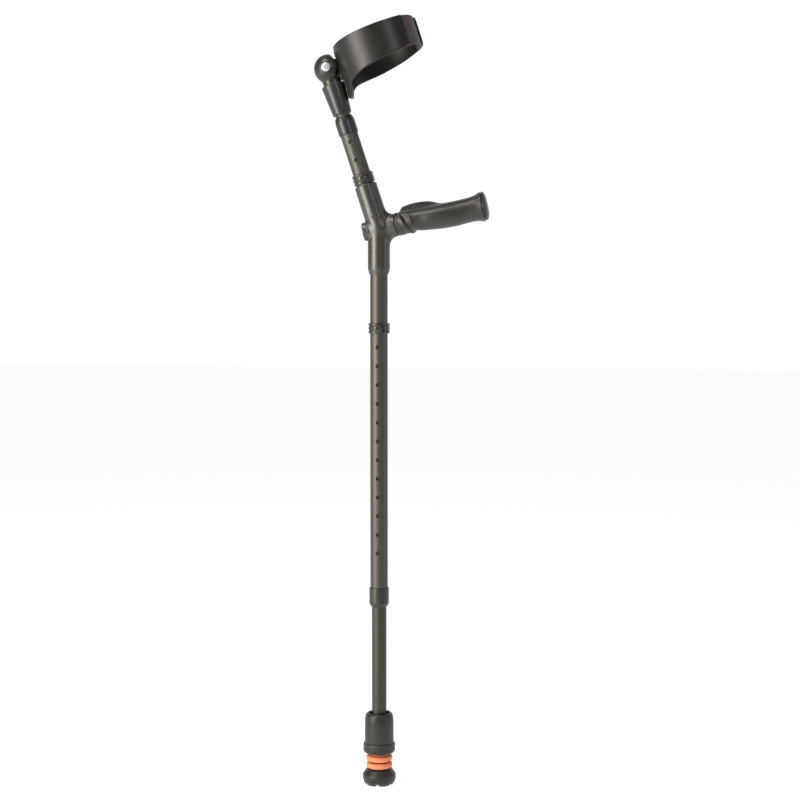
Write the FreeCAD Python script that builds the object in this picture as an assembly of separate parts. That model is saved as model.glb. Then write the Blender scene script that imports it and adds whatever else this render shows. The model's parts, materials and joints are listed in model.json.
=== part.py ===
"""Forearm crutch: telescoping leg with a cushioned tilting foot, moulded handle, telescoping tilting cuff.

Millimetres. +Z is up, +X is the way the handle points, and the origin is where the pole's axis meets the
ground. Holes, clips and the hinge screw face -Y. Two more frames are used: the forearm frame, whose Z runs
up the leaning forearm tube, and the handle frame, whose Z runs out along the grip and whose X points down.
"""
import FreeCAD
import Part
import math
import os

from FreeCAD import Placement, Rotation, Vector

# ---- frames ---------------------------------------------------------------------------------------------
BEND_Z = 750.0            # where the pole's axis and the forearm's axis meet
FOREARM_LEAN = 18.1       # degrees the forearm tube leans back from vertical
GRIP_Z = 747.0            # height at which the grip's axis crosses the pole's axis
GRIP_RISE = 11.9          # degrees the grip rises from horizontal

FOREARM = Placement(Vector(0, 0, BEND_Z), Rotation(Vector(0, 1, 0), -FOREARM_LEAN))
HANDLE = Placement(Vector(0, 0, GRIP_Z), Rotation(Vector(0, 1, 0), 90 - GRIP_RISE))

# ---- tubes ----------------------------------------------------------------------------------------------
POLE_R = 11.7             # outside of the pole and of the forearm's outer tube
LEG_R = 9.8               # outside of the two tubes that slide inside them
WALL = 1.5
SLIDE_GAP = 0.06          # radial clearance of a sliding fit
SEAT_GAP = 0.02           # radial clearance where a part is glued or pressed on
HOLE_R = 2.9
HOLE_PITCH = 25.0

POLE_BOTTOM_Z = 246.0
POLE_TOP_Z = 734.0
LEG_CLIP_Z = 615.4        # top hole, where the clip sits in the shortest setting
POLE_HOLES = 13
LEG_TOP_Z = 640.0
LEG_BOTTOM_Z = 62.0

BUSH_BOTTOM_Z = 242.2
BUSH_TOP_Z = 268.2
BUSH_R = 13.2

FOREARM_START = 10.0      # distances from here on are up the forearm's axis
FOREARM_CLIP = 66.2
FOREARM_HOLES = 3
FOREARM_END = 139.0
FOREARM_BUSH = (127.6, 152.5)
INNER_START = 50.0
INNER_END = 187.0
PIN_S = 15.3              # cross pin through the handle moulding and the foot of the forearm tube
PIN_R = 2.4

# ---- spring clips ---------------------------------------------------------------------------------------
CLIP_GAP = 0.3
CLIP_R = 13.9
CLIP_HEIGHT = 14.0
CLIP_ARM = 7.0            # how far the straight arms reach past the tube's axis
CLIP_BOSS_R = 6.0
PEG_R = 2.6
PEG_START = 14.0          # how far from the tube's axis the peg is set in the boss

# ---- handle ---------------------------------------------------------------------------------------------
LIMB_R = 14.7
LIMB_BOTTOM_Z = 686.8
LIMB_TAPER = 8.0
UPPER_LIMB_R = (15.1, 14.9)
UPPER_LIMB_END = 57.5     # up the forearm's axis
BOSS_REAR = -15.0         # distances along the grip's axis
BOSS_FRONT = 23.3
BOSS_R = 13.2
BOSS_FRONT_R = 14.6
CORE_R = 8.0
CORE_END = 138.0
PLUG_FACE = -21.0
PLUG_R = 12.2
COLLAR_END = 31.0
GRIP_END = 141.0
CAP_END = 147.5
CAP_R = 19.6

# ---- foot -----------------------------------------------------------------------------------------------
PAD_TOP_Z = 20.8
PAD_R = 22.3
BALL_Z = 13.8             # centre of the ball the sole tilts on
BALL_R = 5.5
COLLAR_BOTTOM_Z = 42.2
COLLAR_TOP_Z = 56.3
COLLAR_R = 21.5
SLEEVE_TOP_Z = 97.5
SLEEVE_R = 19.3
INSERT_R = 13.0
BELLOWS_R = 17.8
BELLOWS_FOLDS = (26.2, 35.4)
PLUNGER_R = 6.0

# ---- cuff, in the forearm frame -------------------------------------------------------------------------
HINGE_S = 218.8           # the hinge's height up the forearm's axis
HINGE_V = 0.3             # and how far it sits in front of that axis
KNUCKLE_R = 18.8
KNUCKLE_FLAT_R = 14.1     # the knuckle's smaller radius where it faces the cuff
LUG_HALF = 5.0            # half the thickness of the blade between the knuckle's cheeks
SOCKET_S = (155.1, 195.3)
SOCKET_R = (12.6, 15.9)
CUFF_BACK_V = 16.4        # outer face of the cuff's back
CUFF_A = 57.0             # outer half axes of the cuff's oval
CUFF_B = 50.0
CUFF_WALL = 2.6
CUFF_CENTRE_V = CUFF_BACK_V + CUFF_A
NEAR_END = 139.0          # degrees round from the back, on the -Y side
FAR_END = 176.0           # the same on the +Y side
STRAP_T = 1.6
STRAP_SKIN_GAP = 0.35
STRAP_NEAR = 131.0
STRAP_HINGE = 168.0       # where the free strap bends away from its anchor, on the +Y side
STRAP_FAR = 148.0
RIVET_ANGLES = (154.0, 162.0)


def turned(points):
    """Solid of revolution about Z of an outline given as (radius, height) pairs."""
    outline = [Vector(r, 0, z) for r, z in points]
    outline.append(outline[0])
    face = Part.Face(Part.makePolygon(outline))
    return face.revolve(Vector(0, 0, 0), Vector(0, 0, 1), 360)


def rounded(points, radii):
    """Closed wire through (x, z) points with each corner rounded by its radius (0 keeps it sharp)."""
    corners = [Vector(x, 0, z) for x, z in points]
    count = len(corners)
    starts, ends, mids = [], [], []
    for i, corner in enumerate(corners):
        to_prev = (corners[i - 1] - corner).normalize()
        to_next = (corners[(i + 1) % count] - corner).normalize()
        half = to_prev.getAngle(to_next) / 2
        reach = radii[i] / math.tan(half) if radii[i] else 0.0
        starts.append(corner + to_prev * reach)
        ends.append(corner + to_next * reach)
        bisector = (to_prev + to_next).normalize() if radii[i] else Vector(0, 0, 0)
        mids.append(corner + bisector * (radii[i] / math.sin(half) - radii[i]))
    edges = []
    for i in range(count):
        if radii[i]:
            edges.append(Part.Arc(starts[i], mids[i], ends[i]).toShape())
        following = starts[(i + 1) % count]
        if (following - ends[i]).Length > 1e-4:
            edges.append(Part.makeLine(ends[i], following))
    return Part.Wire(edges)


def turned_round(points, radii):
    """Solid of revolution about Z with its outline's corners rounded."""
    return Part.Face(rounded(points, radii)).revolve(Vector(0, 0, 0), Vector(0, 0, 1), 360)


def ring(outer, inner, bottom, top):
    """Plain tube about Z."""
    return turned([(inner, bottom), (outer, bottom), (outer, top), (inner, top)])


def cross_rod(radius, x, z, y_from, y_to):
    """Round rod along Y."""
    return Part.makeCylinder(radius, y_to - y_from, Vector(x, y_from, z), Vector(0, 1, 0))


def placed(shape, frame):
    """Copy of a shape moved from its own frame into the object's frame."""
    moved = shape.copy()
    moved.Placement = frame.multiply(moved.Placement)
    return moved


def drilled_tube(outer, bottom, top, holes, hole_r=HOLE_R):
    """Tube with a row of holes through its -Y wall."""
    tube = ring(outer, outer - WALL, bottom, top)
    for height in holes:
        tube = tube.cut(cross_rod(hole_r, 0, height, -outer - 1, 0))
    return tube


def end_bush(bottom, top, tube_end, top_fillet):
    """Cap bush over a tube's end: it holds the tube and guides the thinner tube that slides in it."""
    sleeve = LEG_R + SLIDE_GAP
    seat = POLE_R + SEAT_GAP
    outline = [(sleeve, tube_end + 0.1), (sleeve, top), (BUSH_R - 0.3, top), (BUSH_R, bottom), (seat, bottom),
               (seat, tube_end + 0.1)]
    return turned_round(outline, [0, 0.6, top_fillet, 0.8, 0, 0])


def guide_plug(bottom, top):
    """Plug in a sliding tube's inner end, with a collar that runs in the outer tube's bore."""
    stem = LEG_R - WALL - SEAT_GAP
    collar = POLE_R - WALL - SLIDE_GAP
    return turned([(0, bottom), (stem, bottom), (stem, top - 5), (collar, top - 5), (collar, top), (0, top)])


def clip_ring(height):
    """Spring clip round a tube: a half ring with straight arms, two grooves and a domed boss in front."""
    inner = POLE_R + CLIP_GAP
    low = height - CLIP_HEIGHT / 2
    bow = ring(CLIP_R, inner, low, low + CLIP_HEIGHT)
    bow = bow.cut(Part.makeBox(60, 60, 60, Vector(-30, 0, low - 10)))
    arms = []
    for side in (-1, 1):
        x_from = inner if side > 0 else -CLIP_R
        arms.append(Part.makeBox(CLIP_R - inner, CLIP_ARM, CLIP_HEIGHT, Vector(x_from, 0, low)))
    band = bow.fuse(arms)
    for groove in (height - 2.9, height + 2.9):
        cutter = ring(CLIP_R + 3, CLIP_R - 0.7, groove - 0.9, groove + 0.9)
        cutter = cutter.cut(Part.makeBox(60, 60, 60, Vector(-30, 0, low - 10)))
        band = band.cut(cutter)
    boss = turned_round([(0, 0), (CLIP_BOSS_R, 0), (CLIP_BOSS_R, 4.6), (0, 5.2)], [0, 0, 2.0, 0])
    boss = placed(boss, Placement(Vector(0, -inner - 0.4, height), Rotation(Vector(1, 0, 0), 90)))
    peg_seat = cross_rod(PEG_R + SEAT_GAP, 0, height, -PEG_START, 0)
    return band.fuse(boss).removeSplitter().cut(peg_seat)


def clip_peg(height):
    """Locking peg of a clip, on the back of the boss; it ends inside the outer tube's wall."""
    peg_tip = -(POLE_R - WALL + 0.05)
    return cross_rod(PEG_R, 0, height, -PEG_START + 0.05, peg_tip)


# ---- the foot -------------------------------------------------------------------------------------------
def sole_pad():
    """Bulged rubber pad with radial V grooves underneath and a pocket for its core."""
    outline = [(0, 0), (PAD_R - 2.6, 0), (PAD_R, 9), (PAD_R - 0.4, 14), (PAD_R - 5.0, PAD_TOP_Z),
               (11.2, PAD_TOP_Z), (11.2, 7.3), (0, 7.3)]
    pad = turned_round(outline, [0, 1.2, 5, 4, 1.5, 0.8, 0, 0])
    for step in range(6):
        wedge = [Vector(8, -3.5, -0.1), Vector(8, 3.5, -0.1), Vector(8, 0, 3.0), Vector(8, -3.5, -0.1)]
        groove = Part.Face(Part.makePolygon(wedge)).extrude(Vector(20, 0, 0))
        groove.rotate(Vector(0, 0, 0), Vector(0, 0, 1), 60 * step - 90)
        pad = pad.cut(groove)
    return pad


def sole_core():
    """Stiff cup inside the pad that carries the ball's seat."""
    bore = BALL_R + 1.8
    return turned([(0, 7.35), (11.15, 7.35), (11.15, 20), (bore, 20), (bore, 7.95), (0, 7.95)])


def tilt_seat():
    """Seat ring round the ball; it carries the first of the two tilting motions."""
    shell = Part.makeSphere(BALL_R + 1.4, Vector(0, 0, BALL_Z))
    hollow = Part.makeSphere(BALL_R + 0.1, Vector(0, 0, BALL_Z))
    waist = Part.makeCylinder(20, 6.4, Vector(0, 0, BALL_Z - 3.2))
    return shell.common(waist).cut(hollow)


def plunger():
    """Rod with the ball at its lower end; it slides up into the insert when the cushion compresses."""
    ball = Part.makeSphere(BALL_R, Vector(0, 0, BALL_Z))
    neck = Part.makeCylinder(3.4, 14, Vector(0, 0, BALL_Z + 3))
    rod = turned([(0, 29), (PLUNGER_R, 29), (PLUNGER_R, 49), (0, 49)])
    return ball.fuse([neck, rod]).removeSplitter()


def cushion_buffer():
    """Elastomer buffer that the plunger presses on."""
    return turned([(0, 49.05), (PLUNGER_R - 0.5, 49.05), (PLUNGER_R - 0.5, 59.5), (0, 59.5)])


def foot_insert():
    """Stiff insert that takes the leg tube above and guides the plunger below."""
    guide = PLUNGER_R + SLIDE_GAP
    seat = LEG_R + SEAT_GAP
    return turned([(guide, 44.0), (INSERT_R, 44.0), (INSERT_R, 92), (seat, 92), (seat, 61.9), (0, 61.9),
                   (0, 59.6), (guide, 59.6)])


def foot_sleeve():
    """Rubber sleeve over the insert, with a rounded rim round a recess at the tube."""
    inner = INSERT_R + SEAT_GAP
    outline = [(inner, COLLAR_TOP_Z + 0.1), (SLEEVE_R + 0.3, COLLAR_TOP_Z + 0.1), (SLEEVE_R, SLEEVE_TOP_Z),
               (SLEEVE_R - 4.3, SLEEVE_TOP_Z), (SLEEVE_R - 5.2, 92.6), (LEG_R + 0.3, 92.6), (LEG_R + 0.3, 92.1),
               (inner, 92.1)]
    return turned_round(outline, [0, 0, 2.0, 1.2, 0.6, 0, 0, 0])


def foot_collar():
    """Wide collar at the sleeve's foot, which the bellows is clipped under."""
    inner = INSERT_R + SEAT_GAP
    outline = [(inner, COLLAR_BOTTOM_Z), (COLLAR_R - 3.4, COLLAR_BOTTOM_Z), (COLLAR_R, 45.6),
               (COLLAR_R, COLLAR_TOP_Z), (inner, COLLAR_TOP_Z)]
    return turned_round(outline, [0, 0.8, 1.5, 1.0, 0])


def bellows():
    """Soft bellows between collar and sole: two round folds under a thin top ring."""
    low, high = PAD_TOP_Z + 0.3, COLLAR_BOTTOM_Z - 0.05
    outer = [(BELLOWS_R - 3.2, low)]
    for middle in BELLOWS_FOLDS:
        for rise, inset in ((-4.4, 3.2), (-2.4, 0.7), (0, 0), (2.4, 0.7), (4.4, 3.2)):
            outer.append((BELLOWS_R - inset, middle + rise))
    outer.append((BELLOWS_R - 2.2, high - 1.6))
    outer.append((BELLOWS_R - 2.2, high))
    return turned(outer + [(BELLOWS_R - 5.4, high), (BELLOWS_R - 5.4, low)])


# ---- the handle -----------------------------------------------------------------------------------------
def handle_moulding():
    """Moulded junction: a limb down the pole, one up the forearm tube and the boss that holds the grip."""
    knee_z = BEND_Z - 4
    lower = turned([(0, LIMB_BOTTOM_Z), (LIMB_R - 1.6, LIMB_BOTTOM_Z), (LIMB_R, LIMB_BOTTOM_Z + LIMB_TAPER),
                    (LIMB_R, knee_z), (0, knee_z)])
    knee = Part.makeSphere(LIMB_R, Vector(0, 0, knee_z))
    upper = turned([(0, -4), (UPPER_LIMB_R[0], -4), (UPPER_LIMB_R[1], UPPER_LIMB_END), (0, UPPER_LIMB_END)])
    boss = turned([(0, BOSS_REAR), (BOSS_R, BOSS_REAR), (BOSS_R, 8), (BOSS_FRONT_R, BOSS_FRONT),
                   (0, BOSS_FRONT)])
    limbs = [knee, placed(upper, FOREARM), placed(boss, HANDLE)]
    webs = [throat_web(1, 4.0, 15.9, 10.5), throat_web(-1, 10.0, 24.9, 13.5)]
    pole_seat = Part.makeCylinder(POLE_R + SEAT_GAP, 100, Vector(0, 0, POLE_TOP_Z - 99.9))
    arm_seat = placed(Part.makeCylinder(POLE_R + SEAT_GAP, 100, Vector(0, 0, FOREARM_START - 0.1)), FOREARM)
    core_seat = placed(Part.makeCylinder(CORE_R + SEAT_GAP, 60, Vector(0, 0, BOSS_REAR - 5)), HANDLE)
    pin_bore = placed(cross_rod(PIN_R + SEAT_GAP, 0, PIN_S, -30, 30), FOREARM)
    plug_seat = placed(Part.makeCylinder(PLUG_R + 0.1, 20, Vector(0, 0, BOSS_REAR - 20)), HANDLE)
    return lower.fuse(limbs + webs).cut([core_seat, pole_seat, arm_seat, pin_bore, plug_seat])


def throat_web(side, near_x, far_x, height):
    """Rounded web in the corner between the grip's boss and a limb (side 1 above the boss, -1 below)."""
    slope = math.tan(math.radians(GRIP_RISE))
    sunk = BOSS_R / math.cos(math.radians(GRIP_RISE)) - 1.5
    corner = Vector(near_x, 0, GRIP_Z + near_x * slope + side * sunk)
    far = Vector(far_x, 0, GRIP_Z + far_x * slope + side * sunk)
    tall = corner + Vector(0, 0, side * height)
    hollow = corner + Vector((far_x - near_x) * 0.34, 0, side * height * 0.30)
    edges = [Part.makeLine(far, corner), Part.makeLine(corner, tall), Part.Arc(tall, hollow, far).toShape()]
    web = Part.Face(Part.Wire(edges)).extrude(Vector(0, 12, 0))
    web.translate(Vector(0, -6, 0))
    return web


def cross_pin():
    """Pin through the moulding and the forearm tube, with a round head on each side."""
    reach = UPPER_LIMB_R[0] + 0.05
    rod = cross_rod(PIN_R, 0, PIN_S, -reach, reach)
    heads = [cross_rod(3.7, 0, PIN_S, reach, reach + 1.1), cross_rod(3.7, 0, PIN_S, -reach - 1.1, -reach)]
    return placed(rod.fuse(heads).removeSplitter(), FOREARM)


def rear_plug():
    """Round cap that closes the back of the grip's boss."""
    outline = [(0, PLUG_FACE), (PLUG_R, PLUG_FACE), (PLUG_R, BOSS_REAR - 0.05), (0, BOSS_REAR - 0.05)]
    return placed(turned_round(outline, [0, 1.6, 0, 0]), HANDLE)


def handle_core():
    """Steel core tube that carries the grip."""
    return placed(ring(CORE_R, 3.1, BOSS_REAR + 2.2, CORE_END), HANDLE)


def core_bolt():
    """Bolt down the core, with its head at the back of the boss."""
    head = turned([(0, BOSS_REAR), (5.0, BOSS_REAR), (5.0, BOSS_REAR + 2.15), (0, BOSS_REAR + 2.15)])
    shank = turned([(0, BOSS_REAR + 2), (3.0, BOSS_REAR + 2), (3.0, 70), (0, 70)])
    return placed(head.fuse(shank).removeSplitter(), HANDLE)


def grip_collar():
    """Hard collar between the moulding and the grip."""
    outline = [(CORE_R + 0.05, BOSS_FRONT + 0.1), (BOSS_FRONT_R + 0.2, BOSS_FRONT + 0.1), (15.8, COLLAR_END),
               (CORE_R + 0.05, COLLAR_END)]
    return placed(turned(outline), HANDLE)


def grip():
    """Contoured palm grip: an oval body that swells at its root and flares at its end, with a palm wing."""
    stations = [(COLLAR_END + 0.1, 15.6, 16.0, 0.3), (45, 15.2, 17.2, 0.4), (64, 15.0, 17.2, 0.0),
                (82, 16.1, 16.6, 1.2), (103, 16.2, 16.2, 1.4), (122, 16.1, 16.8, 1.0), (133, 17.4, 17.6, 0.8),
                (GRIP_END, 19.4, 19.4, 0.5)]
    sections = []
    for along, tall, wide, drop in stations:
        major, minor = max(tall, wide), min(tall, wide)
        oval = Part.Ellipse(Vector(drop, 0, along), major + 1e-3, minor).toShape()
        if wide > tall:
            oval.rotate(Vector(drop, 0, along), Vector(0, 0, 1), 90)
        sections.append(Part.Wire([oval]))
    body = Part.makeLoft(sections, True, False)
    wing = Part.makeSphere(1)
    stretch = FreeCAD.Matrix()
    stretch.scale(9.0, 15.0, 29.0)
    wing = wing.transformGeometry(stretch)
    wing.translate(Vector(-13.5, 9.0, 58))
    body = body.fuse(wing)
    front = Part.makeBox(80, 80, 40, Vector(-40, -40, COLLAR_END + 0.1 - 40))
    bore = Part.makeCylinder(CORE_R + SEAT_GAP, 200, Vector(0, 0, 0))
    return placed(body.cut([front, bore]), HANDLE)


def grip_end_cap():
    """Domed cap at the grip's flared end."""
    outline = [(0, GRIP_END + 0.1), (CAP_R - 0.6, GRIP_END + 0.1), (CAP_R, GRIP_END + 1.4), (CAP_R - 1.8, 145.4),
               (CAP_R - 7, CAP_END), (0, CAP_END)]
    return placed(turned_round(outline, [0, 0.3, 0.8, 2.5, 4, 0]), HANDLE)


# ---- the cuff -------------------------------------------------------------------------------------------
def cuff_socket():
    """Tapered sleeve glued on the inner tube; the hinge's knuckle stands on it."""
    low, high = SOCKET_S
    inner = LEG_R + SEAT_GAP
    outline = [(inner, low), (SOCKET_R[0], low), (SOCKET_R[1], high), (12.6, high), (12.6, high - 2.5),
               (inner, high - 2.5)]
    return placed(turned_round(outline, [0, 0.6, 1.0, 0.4, 0, 0]), FOREARM)


def hinge_knuckle():
    """Ball-shaped knuckle with a slot for the cuff's blade, on a spigot in the inner tube."""
    ball = Part.makeSphere(KNUCKLE_R, Vector(HINGE_V, 0, HINGE_S))
    neck = Part.makeCylinder(12.2, 14, Vector(0, 0, SOCKET_S[1] - 2.4))
    spigot = Part.makeCylinder(LEG_R - WALL - SEAT_GAP, 20, Vector(0, 0, 176))
    body = ball.fuse([neck, spigot])
    slot = cross_rod(KNUCKLE_R - 3.0, HINGE_V, HINGE_S, -LUG_HALF - 0.3, LUG_HALF + 0.3)
    mouth = Part.makeBox(30, 2 * LUG_HALF + 0.6, 30, Vector(HINGE_V, -LUG_HALF - 0.3, HINGE_S - 8))
    relief = Part.makeCylinder(40, 60, Vector(HINGE_V, -30, HINGE_S), Vector(0, 1, 0))
    relief = relief.cut(Part.makeCylinder(KNUCKLE_FLAT_R, 60, Vector(HINGE_V, -30, HINGE_S), Vector(0, 1, 0)))
    relief = relief.common(Part.makeBox(40, 60, 36, Vector(HINGE_V + 9.0, -30, HINGE_S - 16)))
    bore = cross_rod(3.1, HINGE_V, HINGE_S, -40, 40)
    head_pocket = cross_rod(6.5, HINGE_V, HINGE_S, -40, -KNUCKLE_R + 3.6)
    nut_pocket = cross_rod(6.5, HINGE_V, HINGE_S, KNUCKLE_R - 3.6, 40)
    return placed(body.cut([slot, mouth, relief, bore, head_pocket, nut_pocket]).removeSplitter(), FOREARM)


def hinge_screw():
    """Domed screw with a hexagon socket; it clamps the knuckle on the cuff's blade."""
    seat = -KNUCKLE_R + 3.6
    head = turned_round([(0, 0), (6.2, 0), (6.2, 2.6), (0, 3.4)], [0, 0, 1.2, 0])
    hexagon = [Vector(2.3 * math.cos(math.radians(60 * i)), 2.3 * math.sin(math.radians(60 * i)), 1.4)
               for i in range(7)]
    head = head.cut(Part.Face(Part.makePolygon(hexagon)).extrude(Vector(0, 0, 4)))
    head = placed(head, Placement(Vector(HINGE_V, seat, HINGE_S), Rotation(Vector(1, 0, 0), 90)))
    shank = cross_rod(3.0, HINGE_V, HINGE_S, seat, KNUCKLE_R - 0.4)
    return placed(head.fuse(shank).removeSplitter(), FOREARM)


def hinge_nut():
    """Round nut in the knuckle's far side."""
    nut = cross_rod(6.2, HINGE_V, HINGE_S, KNUCKLE_R - 3.55, KNUCKLE_R - 0.9)
    return placed(nut.cut(cross_rod(3.02, HINGE_V, HINGE_S, 0, 40)), FOREARM)


def friction_washers():
    """Two thin washers between the blade and the knuckle's cheeks."""
    discs = []
    for side in (-1, 1):
        start = LUG_HALF + 0.03 if side > 0 else -LUG_HALF - 0.28
        disc = cross_rod(9.0, HINGE_V, HINGE_S, start, start + 0.25)
        discs.append(disc.cut(cross_rod(3.1, HINGE_V, HINGE_S, -20, 20)))
    return placed(Part.makeCompound(discs), FOREARM)


def cuff_bracket():
    """Blade between the knuckle's cheeks and the plate that carries the cuff's back."""
    plate_v = HINGE_V + KNUCKLE_FLAT_R + 0.35
    blade = cross_rod(KNUCKLE_R - 3.6, HINGE_V, HINGE_S, -LUG_HALF, LUG_HALF)
    arm = Part.makeBox(plate_v - HINGE_V, 2 * LUG_HALF, 14, Vector(HINGE_V, -LUG_HALF, HINGE_S - 6))
    plate = Part.makeBox(4, 15, 30, Vector(plate_v, -7.5, HINGE_S - 13))
    backing = oval_slab(CUFF_A + 0.02, CUFF_B + 0.02, HINGE_S - 20, HINGE_S + 25)
    bracket = blade.fuse([arm, plate]).cut(backing)
    return placed(bracket.cut(cross_rod(3.06, HINGE_V, HINGE_S, -20, 20)).removeSplitter(), FOREARM)


def oval_slab(half_v, half_y, low, high):
    """Solid oval prism on the cuff's axis, between two heights up the forearm."""
    oval = Part.Ellipse(Vector(CUFF_CENTRE_V, 0, low), half_v, half_y).toShape()
    return Part.Face(Part.Wire([oval])).extrude(Vector(0, 0, high - low))


def sector(angle_from, angle_to):
    """Tall wedge on the cuff's axis; angles run from the back round the -Y side, in degrees."""
    rim = []
    steps = 12
    for step in range(steps + 1):
        angle = math.radians(angle_from + (angle_to - angle_from) * step / steps)
        rim.append(Vector(CUFF_CENTRE_V - 2 * CUFF_A * math.cos(angle), -2 * CUFF_B * math.sin(angle), 150))
    centre = Vector(CUFF_CENTRE_V, 0, 150)
    return Part.Face(Part.makePolygon([centre] + rim + [centre])).extrude(Vector(0, 0, 130))


def cuff_side_profile():
    """Side view of the cuff as a slab across Y: a crowned top edge and a lower edge that sweeps to a tail."""
    back, front = CUFF_BACK_V - 1, CUFF_BACK_V + 2 * CUFF_A + 1
    top = [Vector(back, 0, 241.3), Vector(70, 0, 245.6), Vector(front, 0, 246.6)]
    low = [Vector(front, 0, 208.2), Vector(90, 0, 201.4), Vector(52, 0, 195.2), Vector(36.5, 0, 192.6),
           Vector(27.5, 0, 188.2), Vector(23.4, 0, 181.5), Vector(21.3, 0, 171.5)]
    curve = Part.BSplineCurve()
    curve.interpolate(low)
    tail = Vector(back, 0, 171.5)
    edges = [Part.Arc(*top).toShape(), Part.makeLine(top[-1], low[0]), curve.toShape(),
             Part.makeLine(low[-1], tail), Part.makeLine(tail, top[0])]
    slab = Part.Face(Part.Wire(edges)).extrude(Vector(0, 140, 0))
    slab.translate(Vector(0, -70, 0))
    return slab


def cuff_shell():
    """Open oval band that holds the forearm, with its tail down the back."""
    band = oval_slab(CUFF_A, CUFF_B, 160, 262).cut(oval_slab(CUFF_A - CUFF_WALL, CUFF_B - CUFF_WALL, 150, 270))
    band = band.common(cuff_side_profile()).cut(sector(NEAR_END, 360 - FAR_END)).fuse(back_rib())
    for angle in RIVET_ANGLES:
        band = band.cut(strap_rivet_rod(angle, 1.55, 12))
    return placed(band, FOREARM)


def back_rib():
    """Stiffening rib down the cuff's back, from its tail past the socket to the bracket."""
    slope = (SOCKET_R[1] - SOCKET_R[0]) / (SOCKET_S[1] - SOCKET_S[0])
    low, high = 172.5, HINGE_S - 13.4
    clear = SOCKET_R[0] + 0.5 + slope * (low - SOCKET_S[0])
    lip = SOCKET_R[1] + 0.5
    outline = [(18, low), (clear, low), (lip, SOCKET_S[1]), (lip, SOCKET_S[1] + 1.2), (13.7, SOCKET_S[1] + 2.2),
               (13.7, high - 2), (14.7, high), (18, high)]
    corners = [Vector(v, -9, s) for v, s in outline]
    return Part.Face(Part.makePolygon(corners + corners[:1])).extrude(Vector(0, 18, 0))


def strap_rivet_rod(angle, radius, length):
    """Short rod through the cuff's far wall and the strap, at an angle round the +Y side."""
    around = math.radians(angle)
    outward = Vector(-math.cos(around) / CUFF_A, math.sin(around) / CUFF_B, 0).normalize()
    mid_a, mid_b = CUFF_A - CUFF_WALL / 2, CUFF_B - CUFF_WALL / 2
    centre = Vector(CUFF_CENTRE_V - mid_a * math.cos(around), mid_b * math.sin(around), 226)
    return Part.makeCylinder(radius, length, centre - outward * (length / 2), outward)


def strap_band(angle_from, angle_to):
    """Stretch of the strap's thin oval band, just inside the cuff."""
    outer = CUFF_WALL + STRAP_SKIN_GAP
    inner = outer + STRAP_T
    band = oval_slab(CUFF_A - outer, CUFF_B - outer, 160, 262)
    band = band.cut(oval_slab(CUFF_A - inner, CUFF_B - inner, 150, 270))
    return band.common(cuff_side_profile()).common(sector(angle_from, angle_to))


def cuff_strap():
    """Flexible gate strap inside the cuff's open front."""
    return placed(strap_band(STRAP_NEAR, 360 - STRAP_HINGE - 0.6), FOREARM)


def strap_anchor():
    """End of the strap, riveted inside the cuff's far end."""
    anchor = strap_band(360 - STRAP_HINGE + 0.6, 360 - STRAP_FAR)
    for angle in RIVET_ANGLES:
        anchor = anchor.cut(strap_rivet_rod(angle, 1.55, 12))
    return placed(anchor, FOREARM)


def strap_rivets():
    """Two rivets that hold the strap to the cuff's far end."""
    rivets = []
    for angle in RIVET_ANGLES:
        rivets.append(strap_rivet_rod(angle, 1.5, 7.0))
    outside = oval_slab(CUFF_A + 0.5, CUFF_B + 0.5, 200, 260)
    inside = oval_slab(CUFF_A - 5.2, CUFF_B - 5.2, 200, 260)
    return placed(Part.makeCompound([rivet.common(outside).cut(inside) for rivet in rivets]), FOREARM)


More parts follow.
